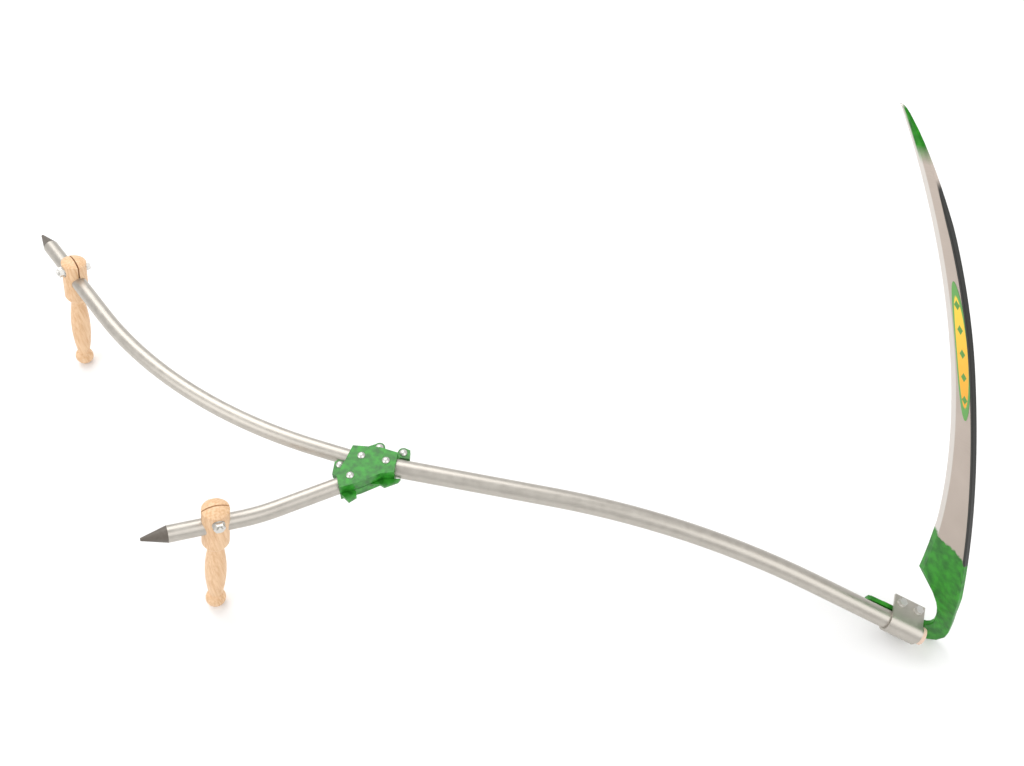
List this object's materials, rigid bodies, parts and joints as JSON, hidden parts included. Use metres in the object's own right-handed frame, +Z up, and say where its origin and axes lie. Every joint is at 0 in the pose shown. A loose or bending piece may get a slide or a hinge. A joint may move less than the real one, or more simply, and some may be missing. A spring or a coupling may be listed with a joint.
{
  "type": "grass scythe",
  "caption": "Grass scythe with a bent Y-shaped tubular handle, turned wooden grips and a long curved ribbed blade clamped at the heel.",
  "frame": {"origin": "centre of the bounding box, on the floor under both grip knobs and the heel of the blade", "axes": "+X towards the blade end of the handle, +Y away from the viewer, +Z up"},
  "size_m": [1.3066, 0.6204, 0.6378],
  "materials": {
    "galvanised": "satin",
    "green_paint": "satin",
    "zinc": "satin",
    "grey_plastic": "matte",
    "cream_plastic": "satin",
    "beech": "satin",
    "blade_steel": "satin",
    "label": "satin"
  },
  "bodies": {
    "snath": {"main_tube": "galvanised", "upper_arm_tube": "galvanised", "lower_arm_tube": "galvanised", "junction_front_shell": "green_paint", "junction_rear_shell": "green_paint", "junction_screws": "zinc", "junction_nuts": "zinc", "upper_end_cap": "grey_plastic", "lower_end_cap": "grey_plastic", "tube_end_plug": "cream_plastic"},
    "upper_grip": {"upper_grip": "beech", "upper_grip_bolt": "zinc", "upper_grip_washers": "zinc"},
    "upper_nut": {"upper_grip_nut": "zinc"},
    "lower_grip": {"lower_grip": "beech", "lower_grip_bolt": "zinc", "lower_grip_washers": "zinc"},
    "lower_nut": {"lower_grip_nut": "zinc"},
    "blade": {"blade": "blade_steel", "blade_label": "label"},
    "clamp": {"clamp_strap": "galvanised", "clamp_bolts": "zinc", "clamp_washers": "zinc"},
    "clamp_nut_outer": {"clamp_nut_outer": "zinc"},
    "clamp_nut_inner": {"clamp_nut_inner": "zinc"}
  },
  "joints": [
    {"name": "upper_grip_slide", "type": "slide", "parent": "snath", "child": "upper_grip", "axis": [-0.6301, 0.7765, -0.007], "range_m": [-0.06, 0.06]},
    {"name": "lower_grip_slide", "type": "slide", "parent": "snath", "child": "lower_grip", "axis": [-0.8978, -0.3776, 0.2266], "range_m": [-0.01, 0.036]},
    {"name": "clamp_slide", "type": "slide", "parent": "snath", "child": "clamp", "axis": [-0.8954, 0.3145, 0.3151], "range_m": [0, 0.06]},
    {"name": "blade_hafting", "type": "hinge", "parent": "snath", "child": "blade", "pos_m": [0.55642, -0.26048, 0.04861], "axis": [0.3311, 0.9436, -0.0008], "range_deg": [-3, 3]},
    {"name": "upper_nut_turn", "type": "hinge", "parent": "upper_grip", "child": "upper_nut", "pos_m": [-0.58878, 0.20698, 0.18785], "axis": [-0.7559, -0.6113, 0.2343], "continuous": true},
    {"name": "lower_nut_turn", "type": "hinge", "parent": "lower_grip", "child": "lower_nut", "pos_m": [-0.27902, -0.22848, 0.18433], "axis": [0.3996, -0.9148, 0.0587], "continuous": true},
    {"name": "clamp_nut_outer_turn", "type": "hinge", "parent": "clamp", "child": "clamp_nut_outer", "pos_m": [0.6034, -0.26873, 0.01265], "axis": [0.2976, -0.1036, 0.9491], "continuous": true},
    {"name": "clamp_nut_inner_turn", "type": "hinge", "parent": "clamp", "child": "clamp_nut_inner", "pos_m": [0.58191, -0.26119, 0.02022], "axis": [0.2976, -0.1036, 0.9491], "continuous": true}
  ]
}
